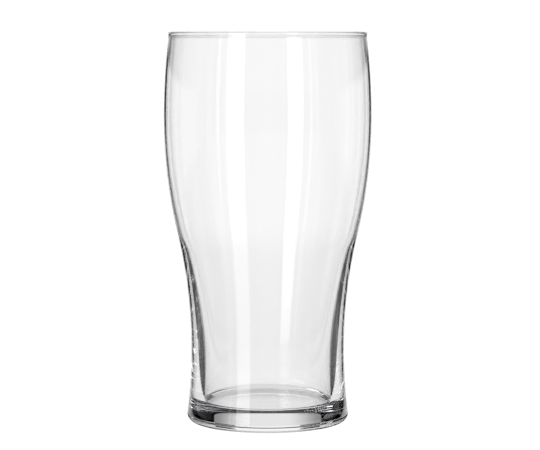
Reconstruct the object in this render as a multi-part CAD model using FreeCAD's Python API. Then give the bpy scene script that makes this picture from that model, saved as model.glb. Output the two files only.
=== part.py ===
import FreeCAD, Part
import math
import os

# Pint glass: one piece of pressed and blown glass, revolved about the Z axis.
# Millimetres. It stands on Z = 0 with its axis on Z and its mouth upwards.
HEIGHT = 160.0

# Outer skin: belly near the top, drawn in to a waist above the foot.
BELLY_RADIUS = 42.6
BELLY_HEIGHT = 125.0
UPPER_ARC = 270.0
SHOULDER_ARC = 206.0
WAIST_RADIUS = 31.5
WAIST_HEIGHT = 29.8
HEEL_RADIUS = 3.2

# Inner skin: it follows the outer one, and the wall thickens towards the base.
CAVITY_BELLY_RADIUS = 41.4
CAVITY_BELLY_HEIGHT = 125.6
CAVITY_UPPER_ARC = 262.0
CAVITY_SHOULDER_ARC = 194.0
CAVITY_WAIST_RADIUS = 26.2
CAVITY_WAIST_HEIGHT = 17.0

# Floor of the cavity: all but flat, with a small rounded corner under the wall.
FLOOR_HEIGHT = 8.2
FLOOR_ARC = 4000.0
CORNER_RADIUS = 1.6

# Fire-polished rim: a round bead a little thicker than the wall it closes.
BEAD_RADIUS = 0.85
RIM_RADIUS = 40.75
BEAD_FILLET = 1.0

# Underside: a flat bearing ring that blends into a very shallow push-up.
RING_INNER_RADIUS = 27.0
RING_BLEND = 30.0
PUSH_UP = 0.15


class Circle:
    """A circle in the half profile, which one arc of the outline follows."""

    def __init__(self, r, z, radius):
        self.centre = point(r, z)
        self.radius = radius


def point(r, z):
    """Place a point of the half profile, which lies in the XZ plane."""
    return FreeCAD.Vector(r, 0.0, z)


def tangent_point(one, other):
    """Find where two tangent circles touch, measured from the larger one."""
    large, small = sorted((one, other), key=lambda circle: -circle.radius)
    towards = (small.centre - large.centre).normalize()
    return large.centre + towards * large.radius


def arc(circle, start, end):
    """Draw the shorter arc of a circle between two points on it."""
    middle = ((start - circle.centre) + (end - circle.centre)).normalize()
    return Part.Arc(start, circle.centre + middle * circle.radius, end).toShape()


def tangent_chain(start, circles, end):
    """Draw arcs along each circle in turn, smooth where one gives way to the next."""
    touches = [tangent_point(one, other) for one, other in zip(circles, circles[1:])]
    stops = [start] + touches + [end]
    return [arc(*leg) for leg in zip(circles, stops, stops[1:])]


def nestled(radius, one, reach_one, other, reach_other, side):
    """Place a circle at a set distance from the centres of two others.

    side is 1.0 or -1.0 and picks the place to the left or right of the line
    from the first centre to the second.
    """
    span = other.centre - one.centre
    along = (reach_one**2 - reach_other**2 + span.Length**2) / (2.0 * span.Length)
    across = side * math.sqrt(reach_one**2 - along**2)
    unit = span / span.Length
    r = one.centre.x + unit.x * along - unit.z * across
    z = one.centre.z + unit.z * along + unit.x * across
    return Circle(r, z, radius)


def wall_circles(belly, upper_arc, shoulder_arc, waist):
    """Return the upper, shoulder and waist circles of one skin of the wall.

    The first two touch at the belly. The waist circle lies outside the glass,
    and its radius is the one that makes it tangent to the shoulder.
    """
    upper = Circle(belly.x - upper_arc, belly.z, upper_arc)
    shoulder = Circle(belly.x - shoulder_arc, belly.z, shoulder_arc)
    run = waist.x - shoulder.centre.x
    rise = waist.z - shoulder.centre.z
    waist_arc = (run**2 + rise**2 - shoulder_arc**2) / (2.0 * (shoulder_arc - run))
    return upper, shoulder, Circle(waist.x + waist_arc, waist.z, waist_arc)


def rim_bead():
    """Return the circle of the round bead that closes the rim."""
    return Circle(RIM_RADIUS - BEAD_RADIUS, HEIGHT - BEAD_RADIUS, BEAD_RADIUS)


def cavity_outline():
    """Draw the inner skin, from the middle of the floor up to the top of the rim."""
    belly = point(CAVITY_BELLY_RADIUS, CAVITY_BELLY_HEIGHT)
    lowest = point(CAVITY_WAIST_RADIUS, CAVITY_WAIST_HEIGHT)
    upper, shoulder, waist = wall_circles(belly, CAVITY_UPPER_ARC, CAVITY_SHOULDER_ARC, lowest)
    floor = Circle(0.0, FLOOR_HEIGHT + FLOOR_ARC, FLOOR_ARC)
    corner = nestled(
        CORNER_RADIUS, floor, FLOOR_ARC - CORNER_RADIUS, waist, waist.radius + CORNER_RADIUS, -1.0
    )
    bead = rim_bead()
    fillet = nestled(
        BEAD_FILLET, upper, upper.radius - BEAD_FILLET, bead, BEAD_RADIUS + BEAD_FILLET, -1.0
    )
    return tangent_chain(
        point(0.0, FLOOR_HEIGHT),
        [floor, corner, waist, shoulder, upper, fillet, bead],
        point(bead.centre.x, HEIGHT),
    )


def outer_outline():
    """Draw the outer skin, from the top of the rim down to the bearing ring."""
    belly = point(BELLY_RADIUS, BELLY_HEIGHT)
    narrowest = point(WAIST_RADIUS, WAIST_HEIGHT)
    upper, shoulder, waist = wall_circles(belly, UPPER_ARC, SHOULDER_ARC, narrowest)
    bead = rim_bead()
    fillet = nestled(
        BEAD_FILLET, upper, upper.radius + BEAD_FILLET, bead, BEAD_RADIUS + BEAD_FILLET, -1.0
    )
    reach = waist.radius + HEEL_RADIUS
    inset = math.sqrt(reach**2 - (WAIST_HEIGHT - HEEL_RADIUS)**2)
    heel = Circle(waist.centre.x - inset, HEEL_RADIUS, HEEL_RADIUS)
    return tangent_chain(
        point(bead.centre.x, HEIGHT),
        [bead, fillet, upper, shoulder, waist, heel],
        point(heel.centre.x, 0.0),
    )


def underside_outline():
    """Draw the push-up, from the inside of the bearing ring to the axis.

    The dome's radius is the one that makes it tangent to the arc that leaves the ring.
    """
    blend = Circle(RING_INNER_RADIUS, RING_BLEND, RING_BLEND)
    drop = RING_BLEND - PUSH_UP
    dome_arc = (RING_INNER_RADIUS**2 + drop**2 - RING_BLEND**2) / (2.0 * PUSH_UP)
    dome = Circle(0.0, PUSH_UP - dome_arc, dome_arc)
    return tangent_chain(
        point(RING_INNER_RADIUS, 0.0), [blend, dome], point(0.0, PUSH_UP)
    )


def tumbler():
    """Revolve the closed half profile into the glass."""
    inner = cavity_outline()
    outer = outer_outline()
    under = underside_outline()
    ring = Part.LineSegment(outer[-1].lastVertex().Point, under[0].firstVertex().Point)
    axis = Part.LineSegment(point(0.0, PUSH_UP), point(0.0, FLOOR_HEIGHT))
    edges = inner + outer + [ring.toShape()] + under + [axis.toShape()]
    face = Part.Face(Part.Wire(edges))
    return face.revolve(point(0.0, 0.0), FreeCAD.Vector(0.0, 0.0, 1.0), 360.0)


os.makedirs("parts", exist_ok=True)
tumbler().exportStep("parts/tumbler.step")
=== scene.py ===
import logging
import math
from dataclasses import dataclass, field
from enum import Enum
from typing import Sequence

import bpy
import numpy as np
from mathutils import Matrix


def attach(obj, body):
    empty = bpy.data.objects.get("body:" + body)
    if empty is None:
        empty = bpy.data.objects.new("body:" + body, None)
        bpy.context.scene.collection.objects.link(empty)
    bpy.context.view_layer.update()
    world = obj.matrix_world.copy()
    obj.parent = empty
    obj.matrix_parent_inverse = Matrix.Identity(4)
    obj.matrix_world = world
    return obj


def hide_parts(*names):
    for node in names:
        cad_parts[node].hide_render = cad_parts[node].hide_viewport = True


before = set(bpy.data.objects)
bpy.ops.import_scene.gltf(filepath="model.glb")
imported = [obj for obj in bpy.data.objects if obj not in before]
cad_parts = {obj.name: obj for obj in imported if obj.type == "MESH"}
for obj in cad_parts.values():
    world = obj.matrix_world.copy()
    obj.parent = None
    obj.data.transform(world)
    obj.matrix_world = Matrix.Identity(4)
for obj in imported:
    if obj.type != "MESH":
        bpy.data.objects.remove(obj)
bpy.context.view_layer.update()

# A clear pint glass, turned from one half profile, and the bright-field studio it
# stands in. Metres throughout, unless a name ends in _mm or _deg.

LOG = logging.getLogger("pint_glass")
MM = 0.001

# How many parts each arc of the outline has, in the order they are walked.
INSIDE_STEPS = (24, 20, 54, 48, 30, 8, 16)
OUTSIDE_STEPS = (16, 8, 30, 48, 50, 18)
RING_STEPS = 4
PUSH_UP_STEPS = (6, 22)

# Heights of the table, and of the cards that lie just over it.
TABLE_LEVEL = -0.001
UNDER_LEVEL = -0.0006
CARD_LEVEL = -0.0005

# How fine the plain cards are.
CARD_COLUMNS = 33
CARD_ROWS = 41

Point = tuple[float, float]
Vector3 = tuple[float, float, float]
Colour = tuple[float, float, float]


# ---------------------------------------------------------------- outline of the glass


@dataclass(frozen=True)
class Circle:
    """A circle in the half profile, which one arc of the outline follows.

    Args:
        r: distance of its centre from the axis.
        z: height of its centre.
        radius: its radius.
    """

    r: float
    z: float
    radius: float

    def touch(self, other: "Circle") -> Point:
        """Find where this circle and one tangent to it meet.

        Both for circles side by side and for one inside the other, the point lies
        from the larger centre towards the smaller one, at the larger radius.

        Args:
            other: the tangent circle.

        Returns:
            The shared point, as (r, z).
        """
        large, small = (self, other) if self.radius > other.radius else (other, self)
        run, rise = small.r - large.r, small.z - large.z
        scale = large.radius / math.hypot(run, rise)
        return large.r + run * scale, large.z + rise * scale

    def walk(self, start: Point, end: Point, steps: int) -> np.ndarray:
        """Step along the shorter arc between two points of the circle.

        point(t) = centre + radius * (cos a(t), sin a(t)), with the angle a going
        evenly from start's to end's. The end point itself is left to the next arc.

        Args:
            start: first point, as (r, z).
            end: last point, as (r, z).
            steps: how many equal parts the arc has.

        Returns:
            An array of steps rows of (r, z).
        """
        first = math.atan2(start[1] - self.z, start[0] - self.r)
        last = math.atan2(end[1] - self.z, end[0] - self.r)
        turn = (last - first + math.pi) % (2.0 * math.pi) - math.pi
        angle = first + turn * np.arange(steps) / steps
        return np.stack(
            [self.r + self.radius * np.cos(angle), self.z + self.radius * np.sin(angle)], axis=1
        )


def nestled(
    radius: float, one: Circle, reach_one: float, other: Circle, reach_other: float
) -> Circle:
    """Place a circle at set distances from two others' centres.

    Of the two places, it takes the one to the right of the line between the centres.

    Args:
        radius: radius of the new circle.
        one: first circle.
        reach_one: distance from the first centre to the new one.
        other: second circle.
        reach_other: distance from the second centre to the new one.

    Returns:
        The new circle.
    """
    run, rise = other.r - one.r, other.z - one.z
    span = math.hypot(run, rise)
    along = (reach_one**2 - reach_other**2 + span**2) / (2.0 * span)
    across = -math.sqrt(reach_one**2 - along**2)
    return Circle(
        one.r + (run * along - rise * across) / span,
        one.z + (rise * along + run * across) / span,
        radius,
    )


def chain(start: Point, circles: Sequence[Circle], steps: Sequence[int], end: Point) -> np.ndarray:
    """Walk along each circle in turn, changing over where neighbours touch.

    Args:
        start: first point, as (r, z).
        circles: the circles in order, each tangent to the next.
        steps: how many parts each one's arc has.
        end: last point, as (r, z), which is left to the next part of the outline.

    Returns:
        The points as rows of (r, z).
    """
    stops = [start, *(a.touch(b) for a, b in zip(circles, circles[1:])), end]
    legs = [c.walk(a, b, n) for c, a, b, n in zip(circles, stops, stops[1:], steps)]
    return np.concatenate(legs)


@dataclass(frozen=True)
class WallSkin:
    """The long curves of one skin of the wall.

    Args:
        belly_radius: widest radius, near the top.
        belly_height: height of the belly.
        upper_arc: radius of the curve from the belly to the rim.
        shoulder_arc: radius of the curve from the belly down to the inflection.
        waist_radius: narrowest radius.
        waist_height: height of the waist.
    """

    belly_radius: float
    belly_height: float
    upper_arc: float
    shoulder_arc: float
    waist_radius: float
    waist_height: float

    def circles(self) -> tuple[Circle, Circle, Circle]:
        """Return the upper, shoulder and waist circles.

        The waist circle lies outside the wall. With a and b its offset from the
        shoulder's centre, tangency gives it the radius
        (a^2 + b^2 - shoulder^2) / (2 * (shoulder - a)).
        """
        upper = Circle(self.belly_radius - self.upper_arc, self.belly_height, self.upper_arc)
        shoulder = Circle(
            self.belly_radius - self.shoulder_arc, self.belly_height, self.shoulder_arc
        )
        run, rise = self.waist_radius - shoulder.r, self.waist_height - shoulder.z
        radius = (run**2 + rise**2 - self.shoulder_arc**2) / (2.0 * (self.shoulder_arc - run))
        return upper, shoulder, Circle(self.waist_radius + radius, self.waist_height, radius)


@dataclass(frozen=True)
class GlassProfile:
    """Every driving size of the glass, in millimetres."""

    height: float = 160.0
    outer: WallSkin = WallSkin(42.6, 125.0, 270.0, 206.0, 31.5, 29.8)
    cavity: WallSkin = WallSkin(41.4, 125.6, 262.0, 194.0, 26.2, 17.0)
    heel_radius: float = 3.2
    floor_height: float = 8.2
    floor_arc: float = 4000.0
    corner_radius: float = 1.6
    bead_radius: float = 0.85
    rim_radius: float = 40.75
    bead_fillet: float = 1.0
    ring_inner_radius: float = 27.0
    ring_blend: float = 30.0
    push_up: float = 0.15

    def bead(self) -> Circle:
        """Return the circle of the rounded rim."""
        return Circle(
            self.rim_radius - self.bead_radius, self.height - self.bead_radius, self.bead_radius
        )

    def inside(self) -> np.ndarray:
        """Walk the cavity from the middle of its floor to the top of the rim."""
        upper, shoulder, waist = self.cavity.circles()
        floor = Circle(0.0, self.floor_height + self.floor_arc, self.floor_arc)
        corner = nestled(
            self.corner_radius,
            floor, self.floor_arc - self.corner_radius,
            waist, waist.radius + self.corner_radius,
        )
        bead = self.bead()
        fillet = nestled(
            self.bead_fillet,
            upper, upper.radius - self.bead_fillet,
            bead, self.bead_radius + self.bead_fillet,
        )
        return chain(
            (0.0, self.floor_height),
            [floor, corner, waist, shoulder, upper, fillet, bead],
            INSIDE_STEPS,
            (bead.r, self.height),
        )

    def outside(self) -> np.ndarray:
        """Walk the outside from the top of the rim to the bearing ring."""
        upper, shoulder, waist = self.outer.circles()
        bead = self.bead()
        fillet = nestled(
            self.bead_fillet,
            upper, upper.radius + self.bead_fillet,
            bead, self.bead_radius + self.bead_fillet,
        )
        return chain(
            (bead.r, self.height),
            [bead, fillet, upper, shoulder, waist, self.heel()],
            OUTSIDE_STEPS,
            (self.heel().r, 0.0),
        )

    def heel(self) -> Circle:
        """Return the rounded edge between the foot and the bearing ring."""
        waist = self.outer.circles()[2]
        reach = waist.radius + self.heel_radius
        inset = math.sqrt(reach**2 - (waist.z - self.heel_radius) ** 2)
        return Circle(waist.r - inset, self.heel_radius, self.heel_radius)

    def underneath(self) -> np.ndarray:
        """Walk the bearing ring and the push-up, in to the axis."""
        blend = Circle(self.ring_inner_radius, self.ring_blend, self.ring_blend)
        drop = self.ring_blend - self.push_up
        radius = (self.ring_inner_radius**2 + drop**2 - self.ring_blend**2) / (2.0 * self.push_up)
        dome = Circle(0.0, self.push_up - radius, radius)
        across = np.linspace(self.heel().r, self.ring_inner_radius, RING_STEPS + 1)[:-1]
        ring = np.stack([across, np.zeros_like(across)], axis=1)
        inward = chain(
            (self.ring_inner_radius, 0.0), [blend, dome], PUSH_UP_STEPS, (0.0, self.push_up)
        )
        return np.concatenate([ring, inward, [[0.0, self.push_up]]])

    def outline(self) -> np.ndarray:
        """Return the whole half profile in metres, from pole to pole."""
        return np.concatenate([self.inside(), self.outside(), self.underneath()]) * MM


# ---------------------------------------------------------------- meshes


def turned_solid(name: str, outline: np.ndarray, segments: int) -> bpy.types.Object:
    """Turn a half profile about Z into one closed mesh.

    vertex(i, j) = (r_i cos a_j, r_i sin a_j, z_i), with a_j = 2 pi (j + 1/2) / segments.
    The first and last points lie on the axis, and each becomes a single pole.

    Args:
        name: object name.
        outline: rows of (r, z), from one pole to the other, with the solid on the
            right of the way along it.
        segments: how many steps go round the axis.

    Returns:
        The object, at the origin.
    """
    angle = 2.0 * np.pi * (np.arange(segments) + 0.5) / segments
    rings = outline[1:-1]
    across, height = np.broadcast_arrays(rings[:, :1], rings[:, 1:])
    grid = np.stack(
        [across * np.cos(angle), across * np.sin(angle), height * np.ones(segments)], axis=2
    )
    poles = np.array([[0.0, 0.0, outline[0, 1]], [0.0, 0.0, outline[-1, 1]]])
    points = np.concatenate([grid.reshape(-1, 3), poles])
    here = np.arange(segments)
    after = (here + 1) % segments
    row = np.arange(len(rings) - 1)[:, None] * segments
    quads = np.stack(
        [row + here, row + segments + here, row + segments + after, row + after], axis=2
    )
    first, last = len(points) - 2, len(points) - 1
    top = (len(rings) - 1) * segments
    start_fan = np.stack([np.full(segments, first), here, after], axis=1)
    end_fan = np.stack([top + here, np.full(segments, last), top + after], axis=1)
    faces = [*quads.reshape(-1, 4).tolist(), *start_fan.tolist(), *end_fan.tolist()]
    return new_object(name, points, faces)


def new_object(name: str, points: np.ndarray, faces: list[list[int]]) -> bpy.types.Object:
    """Put a smooth-shaded mesh into the scene.

    Args:
        name: object name.
        points: rows of (x, y, z).
        faces: vertex numbers of each face, counter-clockwise from outside.

    Returns:
        The object, at the origin.
    """
    mesh = bpy.data.meshes.new(name)
    mesh.from_pydata(points.tolist(), [], faces)
    mesh.polygons.foreach_set("use_smooth", np.ones(len(faces), dtype=bool))
    mesh.update()
    made = bpy.data.objects.new(name, mesh)
    bpy.context.scene.collection.objects.link(made)
    return made


# ---------------------------------------------------------------- node helpers


class NodeSheet:
    """A thin typed layer over one node tree."""

    def __init__(self, tree: bpy.types.NodeTree) -> None:
        """Keep the tree and start from nothing."""
        self.tree = tree
        tree.nodes.clear()

    def add(self, kind: str, **settings: object) -> bpy.types.Node:
        """Add a node.

        Args:
            kind: Blender's node type.
            settings: attributes to set on it.

        Returns:
            The node.
        """
        node = self.tree.nodes.new(kind)
        for key, value in settings.items():
            setattr(node, key, value)
        return node

    def join(self, source: bpy.types.NodeSocket, target: bpy.types.NodeSocket) -> None:
        """Link two sockets."""
        self.tree.links.new(source, target)

    def math(self, operation: str, first: object, second: object = 0.0) -> bpy.types.NodeSocket:
        """Add a Math node.

        Args:
            operation: its operation.
            first: a number or a socket.
            second: a number or a socket.

        Returns:
            Its output.
        """
        node = self.add("ShaderNodeMath", operation=operation)
        for slot_in, value in zip(node.inputs, (first, second)):
            if isinstance(value, bpy.types.NodeSocket):
                self.join(value, slot_in)
            else:
                slot_in.default_value = value
        return node.outputs[0]


class SocketKind(Enum):
    """The kinds of socket that the shared effects have."""

    NUMBER = "NodeSocketFloat"
    VECTOR = "NodeSocketVector"


def new_group(
    name: str, inputs: dict[str, tuple[SocketKind, float]], outputs: dict[str, SocketKind]
) -> tuple[NodeSheet, bpy.types.Node, bpy.types.Node]:
    """Start a shader node group with named sockets.

    Args:
        name: the group's name.
        inputs: kind and default of each input.
        outputs: kind of each output.

    Returns:
        The sheet to draw on, the group's input node and its output node.
    """
    tree = bpy.data.node_groups.new(name, "ShaderNodeTree")
    for label, (kind, start) in inputs.items():
        socket = tree.interface.new_socket(label, in_out="INPUT", socket_type=kind.value)
        if kind is SocketKind.NUMBER:
            socket.default_value = start
    for label, kind in outputs.items():
        tree.interface.new_socket(label, in_out="OUTPUT", socket_type=kind.value)
    sheet = NodeSheet(tree)
    return sheet, sheet.add("NodeGroupInput"), sheet.add("NodeGroupOutput")


# ---------------------------------------------------------------- finishes


@dataclass(frozen=True)
class FormingRipple:
    """The faint unevenness that blowing and fire polishing leave in a glass wall.

    Args:
        name: the group's name.
        slow_scale: scale of the slow noise, per metre.
        slow_rise: share of that scale which it keeps along Z.
        fine_scale: scale of the finer noise, per metre.
        fine_share: strength of the finer noise beside the slow one.
    """

    name: str = "forming_ripple"
    slow_scale: float = 55.0
    slow_rise: float = 0.35
    fine_scale: float = 160.0
    fine_share: float = 0.3

    def group(self) -> bpy.types.NodeTree:
        """Build the group, which puts out a height in metres.

        Height = depth * (slow noise drawn out along Z + fine_share * finer noise).
        """
        sheet, given, out = new_group(
            self.name,
            {"Place": (SocketKind.VECTOR, 0.0), "Depth": (SocketKind.NUMBER, 1e-5)},
            {"Height": SocketKind.NUMBER},
        )
        drawn = sheet.add("ShaderNodeMapping", vector_type="POINT")
        drawn.inputs["Scale"].default_value = (1.0, 1.0, self.slow_rise)
        sheet.join(given.outputs["Place"], drawn.inputs["Vector"])
        slow = sheet.add("ShaderNodeTexNoise")
        slow.inputs["Scale"].default_value = self.slow_scale
        slow.inputs["Detail"].default_value = 1.0
        sheet.join(drawn.outputs["Vector"], slow.inputs["Vector"])
        fine = sheet.add("ShaderNodeTexNoise")
        fine.inputs["Scale"].default_value = self.fine_scale
        fine.inputs["Detail"].default_value = 0.0
        sheet.join(given.outputs["Place"], fine.inputs["Vector"])
        faint = sheet.math("MULTIPLY", fine.outputs["Fac"], self.fine_share)
        both = sheet.math("ADD", slow.outputs["Fac"], faint)
        sheet.join(sheet.math("MULTIPLY", both, given.outputs["Depth"]), out.inputs["Height"])
        return sheet.tree


@dataclass(frozen=True)
class RingScuff:
    """The fine scratches that table tops leave on the ring a glass stands on.

    Args:
        name: the group's name.
        grain: scale of the speckle, per metre.
    """

    name: str = "ring_scuff"
    grain: float = 1400.0

    def group(self) -> bpy.types.NodeTree:
        """Build the group, which puts out a roughness.

        Roughness = worst * (1 - z / reach, held between 0 and 1) * noise.
        """
        sheet, given, out = new_group(
            self.name,
            {
                "Place": (SocketKind.VECTOR, 0.0),
                "Reach": (SocketKind.NUMBER, 1e-4),
                "Worst": (SocketKind.NUMBER, 0.2),
            },
            {"Roughness": SocketKind.NUMBER},
        )
        parts = sheet.add("ShaderNodeSeparateXYZ")
        sheet.join(given.outputs["Place"], parts.inputs["Vector"])
        up = sheet.math("DIVIDE", parts.outputs["Z"], given.outputs["Reach"])
        low = sheet.math("SUBTRACT", 1.0, up)
        low.node.use_clamp = True
        speckle = sheet.add("ShaderNodeTexNoise")
        speckle.inputs["Scale"].default_value = self.grain
        speckle.inputs["Detail"].default_value = 2.0
        sheet.join(given.outputs["Place"], speckle.inputs["Vector"])
        worn = sheet.math("MULTIPLY", low, speckle.outputs["Fac"])
        sheet.join(sheet.math("MULTIPLY", worn, given.outputs["Worst"]), out.inputs["Roughness"])
        return sheet.tree


@dataclass(frozen=True)
class ClearGlass:
    """Clear soda-lime glass, fire polished, with a worn bearing ring.

    Args:
        name: the material's name.
        clarity: share of light of each colour that each surface lets by.
        ior: index of refraction.
        body: colour left by the body of the glass.
        density: how strongly the body colours, per metre.
        ripple_depth: depth of the wall's unevenness.
        scuff_reach: how far up from the table the bearing ring is scuffed.
        scuff_worst: roughness where it is scuffed most.
    """

    name: str = "clear_glass"
    clarity: Colour = (0.995, 0.995, 0.997)
    ior: float = 1.52
    body: Colour = (0.62, 0.60, 0.66)
    density: float = 3.0
    ripple_depth: float = 1.5e-6
    scuff_reach: float = 0.00002
    scuff_worst: float = 0.12

    def material(self) -> bpy.types.Material:
        """Build the material."""
        made = bpy.data.materials.new(self.name)
        made.use_nodes = True
        sheet = NodeSheet(made.node_tree)
        out = sheet.add("ShaderNodeOutputMaterial")
        glass = sheet.add("ShaderNodeBsdfPrincipled")
        glass.inputs["Base Color"].default_value = (*self.clarity, 1.0)
        glass.inputs["IOR"].default_value = self.ior
        glass.inputs["Transmission Weight"].default_value = 1.0
        sheet.join(glass.outputs["BSDF"], out.inputs["Surface"])
        body = sheet.add("ShaderNodeVolumeAbsorption")
        body.inputs["Color"].default_value = (*self.body, 1.0)
        body.inputs["Density"].default_value = self.density
        sheet.join(body.outputs["Volume"], out.inputs["Volume"])
        place = sheet.add("ShaderNodeTexCoord")
        ripple = sheet.add("ShaderNodeGroup", node_tree=FormingRipple().group())
        ripple.inputs["Depth"].default_value = self.ripple_depth
        sheet.join(place.outputs["Object"], ripple.inputs["Place"])
        scuff = sheet.add("ShaderNodeGroup", node_tree=RingScuff().group())
        scuff.inputs["Reach"].default_value = self.scuff_reach
        scuff.inputs["Worst"].default_value = self.scuff_worst
        sheet.join(place.outputs["Object"], scuff.inputs["Place"])
        sheet.join(scuff.outputs["Roughness"], glass.inputs["Roughness"])
        bump = sheet.add("ShaderNodeBump")
        bump.inputs["Strength"].default_value = 1.0
        bump.inputs["Distance"].default_value = 1.0
        sheet.join(ripple.outputs["Height"], bump.inputs["Height"])
        sheet.join(bump.outputs["Normal"], glass.inputs["Normal"])
        return made


# ---------------------------------------------------------------- the glass


@dataclass
class PintGlass:
    """The one piece: a pint glass with a belly, a waist and a thick base.

    Args:
        name: piece name.
        node: the CAD node it stands for.
        slot: the record's material slot; not used.
        segments: steps round the axis.
        profile: its sizes.
        finish: its material.
    """

    name: str = "pint_glass"
    node: str = "tumbler"
    slot: str = "glass"
    segments: int = 224
    profile: GlassProfile = field(default_factory=GlassProfile)
    finish: ClearGlass = field(default_factory=ClearGlass)
    piece: bpy.types.Object | None = None

    def build(self) -> None:
        """Turn the profile and hang the piece on the frame."""
        self.piece = turned_solid(self.name, self.profile.outline(), self.segments)
        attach(self.piece, "root")
        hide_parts(self.node)

    def dress(self) -> None:
        """Give the piece its material."""
        self.piece.data.materials.append(self.finish.material())


# ---------------------------------------------------------------- the studio


def card_light() -> bpy.types.Material:
    """Build the light of a card, which reads its strength from the mesh."""
    made = bpy.data.materials.new("card_light")
    made.use_nodes = True
    sheet = NodeSheet(made.node_tree)
    out = sheet.add("ShaderNodeOutputMaterial")
    light = sheet.add("ShaderNodeEmission")
    level = sheet.add("ShaderNodeAttribute", attribute_name="glow")
    sheet.join(level.outputs["Fac"], light.inputs["Strength"])
    sheet.join(light.outputs["Emission"], out.inputs["Surface"])
    return made


def lit_card(
    name: str, bearing: np.ndarray, distance: np.ndarray, height: np.ndarray, glow: np.ndarray
) -> bpy.types.Object:
    """Put up a lit card that the glass sees, but the camera doesn't.

    point = (d sin b, -d cos b, z), with the bearing b measured from the way towards
    the camera, positive to its right.

    Args:
        name: object name.
        bearing: bearings in radians, as rows by columns.
        distance: distances from the axis, alike.
        height: heights over the table, alike.
        glow: radiance at each point, alike.

    Returns:
        The card.
    """
    grid = np.stack([distance * np.sin(bearing), -distance * np.cos(bearing), height], axis=2)
    rows, columns = bearing.shape
    corner = np.arange(rows - 1)[:, None] * columns + np.arange(columns - 1)
    faces = np.stack([corner, corner + 1, corner + columns + 1, corner + columns], axis=2)
    card = new_object(name, grid.reshape(-1, 3), faces.reshape(-1, 4).tolist())
    light = card.data.attributes.new("glow", "FLOAT", "POINT")
    light.data.foreach_set("value", glow.reshape(-1).astype(np.float32))
    card.data.materials.append(card_light())
    card.visible_camera = False
    card.visible_diffuse = False
    card.visible_shadow = False
    return card


def ease(value: np.ndarray, start: np.ndarray | float, end: np.ndarray | float) -> np.ndarray:
    """Ease from 0 to 1.

    Args:
        value: the values to ease.
        start: where it is 0.
        end: where it is 1.

    Returns:
        3 t^2 - 2 t^3, with t the part of the way from start to end.
    """
    part = np.clip((value - start) / (end - start), 0.0, 1.0)
    return part * part * (3.0 - 2.0 * part)


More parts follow.
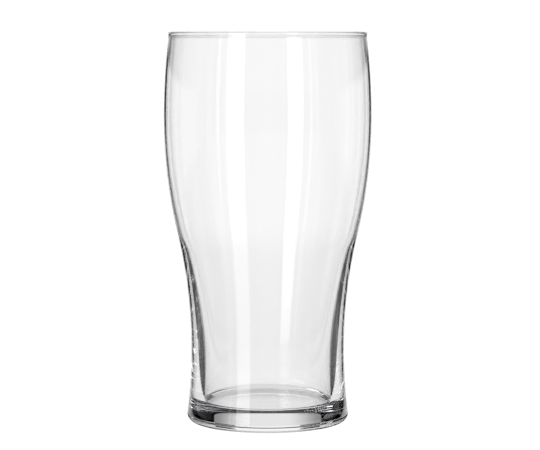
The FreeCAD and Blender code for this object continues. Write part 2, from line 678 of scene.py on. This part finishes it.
@dataclass(frozen=True)
class Sweep:
    """The pale sweep behind the glass: a sheet on the table that turns up into a wall.

    Its middle is a sheet whose edges draw apart with distance. A black flag stands
    along each edge, and a dimmer sheet lies outside each flag. Above the flags the
    wall is wider and dimmer.

    Args:
        name: object name.
        near: where it starts on the table.
        far: where it turns up.
        top: how high it reaches.
        glow: radiance of the middle, on the table near the glass and farther away.
        full_at: how far away it has its full radiance.
        foot_side: half width of the middle at the glass.
        flare: how much wider it gets per metre away.
        taper_deg: how much narrower it gets as it turns up.
        taper_height: height at which it has narrowed by that.
        side_fall: share of the light lost from the middle to its edges, near the glass.
        soft_deg: half of the angle over which its edges fade.
        flag_deg: angle that a flag hides, far from the glass.
        foot_flag: how near the flags hide twice that.
        flag_fade_deg: angle over which an outer sheet fades in.
        flag_top: height of the flags at the wall.
        flag_top_fade: heights below and above that, over which they give way.
        end_deg: bearing from straight behind where the outer sheets end.
        outer_glow: radiance of the outer sheets at the flags, half way and at their ends.
        half_way_deg: bearing of that half way.
        slip_deg: bearing of a brighter slip in each outer sheet.
        slip_half_deg: half of the slip's angle.
        slip_glow: how much brighter the slip is.
        high_flat_deg: half angle over which the wall above the flags is even.
        high_deg: half angle of that wall.
        edge_deg: angle over which its edge fades, and least width of a change.
        high_glow: radiance there, in the middle and at the sides.
        columns: how many points its grid has across.
        table_rows: how many it has along the table.
        wall_rows: how many it has up the wall.
        wall_power: how strongly those crowd towards the table.
    """

    name: str = "sweep"
    near: float = 0.045
    far: float = 1.3
    top: float = 1.4
    glow: Point = (0.98, 1.10)
    full_at: float = 0.7
    foot_side: float = 0.05
    flare: float = 0.27
    taper_deg: float = 2.5
    taper_height: float = 0.08
    side_fall: float = 0.1
    soft_deg: float = 0.75
    flag_deg: float = 10.0
    foot_flag: float = 0.14
    flag_fade_deg: float = 1.5
    flag_top: float = 0.172
    flag_top_fade: Point = (0.01, 0.02)
    end_deg: float = 96.0
    outer_glow: Vector3 = (0.8, 0.5, 0.25)
    half_way_deg: float = 47.0
    slip_deg: float = 59.5
    slip_half_deg: float = 2.5
    slip_glow: float = 0.25
    high_flat_deg: float = 8.0
    high_deg: float = 29.0
    edge_deg: float = 1.0
    high_glow: Point = (0.92, 0.3)
    columns: int = 577
    table_rows: int = 90
    wall_rows: int = 140
    wall_power: float = 1.8

    def build(self) -> bpy.types.Object:
        """Build the sweep on a grid of bearing by distance along the path."""
        across = np.linspace(-self.end_deg, self.end_deg, self.columns)
        out = np.geomspace(self.near, self.far, self.table_rows)
        up = self.top * np.linspace(0.0, 1.0, self.wall_rows + 1)[1:] ** self.wall_power
        distance = np.concatenate([out, np.full(len(up), self.far)])[:, None]
        height = np.concatenate([np.zeros(len(out)), up])[:, None]
        away = np.abs(across)[None, :]
        below, above = self.flag_top_fade
        over = ease(height, self.flag_top - below, self.flag_top + above)
        low = self.low_light(away, distance, height)
        glow = low + (self.high_light(away) - low) * over
        shape = np.ones_like(glow)
        bearing = np.radians(180.0 + across)[None, :] * shape
        return lit_card(self.name, bearing, distance * shape, (height + CARD_LEVEL) * shape, glow)

    def low_light(self, away: np.ndarray, distance: np.ndarray, height: np.ndarray) -> np.ndarray:
        """Light the middle sheet and the outer sheets, and leave the flags dark.

        With s the middle's half width foot_side + flare * d, its half angle is
        asin(s / d). From there a flag hides flag_deg * (1 + (foot_flag / d)^4) more.

        Args:
            away: angles from straight behind, in degrees, as one row.
            distance: distances from the axis, as one column.
            height: heights over the table, as one column.

        Returns:
            The radiance at each point of the grid.
        """
        sine = (self.foot_side + self.flare * distance) / distance
        edge = np.degrees(np.arcsin(np.minimum(sine, 1.0)))
        gone = edge + self.flag_deg * (1.0 + (self.foot_flag / distance) ** 4)
        edge = edge - self.taper_deg * ease(height, 0.0, self.taper_height)
        reach = ease(distance, self.near, self.full_at)
        middle = self.glow[0] + (self.glow[1] - self.glow[0]) * reach
        middle = middle * (1.0 - self.side_fall * (1.0 - reach) * np.minimum(away / edge, 1.0))
        middle = middle * (1.0 - ease(away, edge - self.soft_deg, edge + self.soft_deg))
        first, second, last = self.outer_glow
        half_way = np.maximum(gone + self.edge_deg, self.half_way_deg)
        outer = first + (second - first) * ease(away, gone, half_way)
        outer = outer + (last - second) * ease(away, self.slip_deg, self.end_deg)
        off_slip = (away - self.slip_deg) / self.slip_half_deg
        outer = outer + self.slip_glow * np.exp(-(off_slip**4))
        return middle + outer * ease(away, gone, gone + self.flag_fade_deg)

    def high_light(self, away: np.ndarray) -> np.ndarray:
        """Light the wall above the flags.

        Args:
            away: angles from straight behind, in degrees, as one row.

        Returns:
            The radiance at each angle, as one row.
        """
        middle, side = self.high_glow
        glow = middle + (side - middle) * ease(away, self.high_flat_deg, self.high_deg)
        return glow * (1.0 - ease(away, self.high_deg, self.high_deg + self.edge_deg))


@dataclass(frozen=True)
class GlowCard:
    """A sector of light that runs out level, then straight up.

    Args:
        name: object name.
        bearing_deg: bearing of its middle.
        half_width_deg: half of its angle.
        near: how far from the axis it starts.
        far: where it turns up.
        top: how high it reaches.
        glow: its radiance upright, which the level part works up to.
        near_share: share of that where it starts.
        level: height of its level part.
    """

    name: str
    bearing_deg: float
    half_width_deg: float
    near: float
    far: float
    top: float
    glow: float
    near_share: float = 1.0
    level: float = CARD_LEVEL

    def build(self) -> bpy.types.Object:
        """Build the card on a grid of bearing by distance along the path."""
        across = np.linspace(-1.0, 1.0, CARD_COLUMNS)
        out = np.linspace(self.near, self.far, CARD_ROWS)
        up = np.linspace(self.level, self.top, CARD_ROWS)[1:]
        distance = np.concatenate([out, np.full(len(up), self.far)])[:, None]
        height = np.concatenate([np.full(len(out), self.level), up])[:, None]
        bearing = np.radians(self.bearing_deg + self.half_width_deg * across)[None, :]
        shape = np.ones((len(distance), len(across)))
        share = self.near_share + (1.0 - self.near_share) * ease(distance, self.near, self.far)
        glow = self.glow * share * shape
        return lit_card(self.name, bearing * shape, distance * shape, height * shape, glow)


@dataclass(frozen=True)
class Lens:
    """The camera: its place, its pitch and its lens.

    Args:
        distance: distance in front of the axis.
        height: height over the table.
        pitch_deg: how far it looks down.
        focal_mm: its focal length.
        sensor_mm: how wide its sensor is.
        shift: sideways shift of the picture, in picture widths.
    """

    distance: float = 0.9035
    height: float = 0.1641
    pitch_deg: float = 5.262
    focal_mm: float = 147.26
    sensor_mm: float = 36.0
    shift: float = 0.0043

    def build(self) -> bpy.types.Object:
        """Make the camera and set it as the scene's."""
        data = bpy.data.cameras.new("camera")
        data.sensor_width = self.sensor_mm
        data.lens = self.focal_mm
        data.shift_x = self.shift
        camera = bpy.data.objects.new("camera", data)
        camera.location = (0.0, -self.distance, self.height)
        camera.rotation_euler = (math.radians(90.0 - self.pitch_deg), 0.0, 0.0)
        bpy.context.scene.collection.objects.link(camera)
        bpy.context.scene.camera = camera
        return camera


@dataclass
class Studio:
    """A pale table in a dark room, with lit cards that always face the camera.

    Args:
        lens: the camera.
        sweep: the pale sweep behind the glass.
        cards: the cards under, round and over the glass.
        white: radiance of the table and the backdrop as the camera sees them.
        room: what the glass sees where there is no card.
        table_half: half of the table's side.
        bounces: how many times light may bounce, so that it gets through the thick base.
    """

    lens: Lens = field(default_factory=Lens)
    sweep: Sweep = field(default_factory=Sweep)
    cards: tuple[GlowCard, ...] = (
        GlowCard(
            "under_card", bearing_deg=180.0, half_width_deg=180.0,
            near=0.00002, far=0.0275, top=-0.0004, glow=0.84, level=UNDER_LEVEL,
        ),
        GlowCard(
            "foot_back", bearing_deg=180.0, half_width_deg=60.0,
            near=0.0275, far=0.0445, top=-0.0004, glow=0.85, level=UNDER_LEVEL,
        ),
        # Painted shade: the gap left between under_card (out to 27.5 mm) and foot_front (from 34
        # mm) is a dark ring in front of the foot that stands for the glass's contact shadow on the
        # table.
        GlowCard(
            "foot_front", bearing_deg=0.0, half_width_deg=48.0,
            near=0.034, far=0.0445, top=-0.0004, glow=0.6, level=UNDER_LEVEL,
        ),
        GlowCard(
            "apron", bearing_deg=0.0, half_width_deg=62.0,
            near=0.07, far=1.3, top=0.0, glow=0.22, level=UNDER_LEVEL,
        ),
        GlowCard(
            "ceiling", bearing_deg=180.0, half_width_deg=180.0,
            near=0.00002, far=0.5, top=0.81, glow=0.15, level=0.8,
        ),
        GlowCard(
            "left_strip", bearing_deg=-34.5, half_width_deg=9.6,
            near=0.05, far=0.45, top=0.75, glow=2.6, near_share=0.4,
        ),
        GlowCard(
            "left_thin", bearing_deg=-54.3, half_width_deg=1.9,
            near=0.05, far=0.55, top=0.7, glow=0.9, near_share=0.4,
        ),
        GlowCard(
            "right_thin", bearing_deg=54.3, half_width_deg=1.9,
            near=0.05, far=0.55, top=0.7, glow=0.3, near_share=0.4,
        ),
    )
    white: float = 1.05
    room: Colour = (0.010, 0.013, 0.018)
    table_half: float = 4.0
    bounces: int = 40

    def build(self) -> None:
        """Set up the camera, the cards, the table and the room."""
        camera = self.lens.build()
        turntable = bpy.data.objects.new("turntable", None)
        bpy.context.scene.collection.objects.link(turntable)
        facing = turntable.constraints.new("LOCKED_TRACK")
        facing.target = camera
        facing.track_axis = "TRACK_NEGATIVE_Y"
        facing.lock_axis = "LOCK_Z"
        for card in (self.sweep, *self.cards):
            card.build().parent = turntable
        self.build_table()
        self.build_room()
        bpy.context.scene.view_settings.view_transform = "Standard"
        cycles = bpy.context.scene.cycles
        cycles.max_bounces = self.bounces
        cycles.transmission_bounces = self.bounces
        cycles.glossy_bounces = self.bounces

    def build_table(self) -> None:
        """Lay the pale table under the glass."""
        half = self.table_half
        corners = np.array([[-half, -half], [half, -half], [half, half], [-half, half]])
        level = np.full((len(corners), 1), TABLE_LEVEL)
        table = new_object("table", np.concatenate([corners, level], axis=1), [[0, 1, 2, 3]])
        made = bpy.data.materials.new("table")
        made.use_nodes = True
        sheet = NodeSheet(made.node_tree)
        self.seen_and_unseen(sheet, sheet.add("ShaderNodeOutputMaterial"), "ShaderNodeEmission")
        table.data.materials.append(made)

    def build_room(self) -> None:
        """Make the room round the glass, pale to the camera and dark to the glass."""
        world = bpy.data.worlds.new("room")
        bpy.context.scene.world = world
        world.use_nodes = True
        sheet = NodeSheet(world.node_tree)
        self.seen_and_unseen(sheet, sheet.add("ShaderNodeOutputWorld"), "ShaderNodeBackground")

    def seen_and_unseen(self, sheet: NodeSheet, out: bpy.types.Node, kind: str) -> None:
        """Give camera rays the white and every other ray the dark room.

        Args:
            sheet: the node tree.
            out: its output node.
            kind: node type of the light.
        """
        seen = sheet.add(kind)
        seen.inputs["Strength"].default_value = self.white
        seen.inputs["Color"].default_value = (1.0, 1.0, 1.0, 1.0)
        unseen = sheet.add(kind)
        unseen.inputs["Strength"].default_value = 1.0
        unseen.inputs["Color"].default_value = (*self.room, 1.0)
        path = sheet.add("ShaderNodeLightPath")
        mix = sheet.add("ShaderNodeMixShader")
        sheet.join(path.outputs["Is Camera Ray"], mix.inputs[0])
        sheet.join(unseen.outputs[0], mix.inputs[1])
        sheet.join(seen.outputs[0], mix.inputs[2])
        sheet.join(mix.outputs[0], out.inputs["Surface"])


def main() -> None:
    """Build the glass, then the studio, and report each piece."""
    logging.basicConfig(level=logging.INFO, format="%(name)s: %(message)s")
    glass = PintGlass()
    glass.build()
    glass.dress()
    LOG.info("%s: %d faces", glass.name, len(glass.piece.data.polygons))
    Studio().build()


if __name__ == "__main__":
    main()
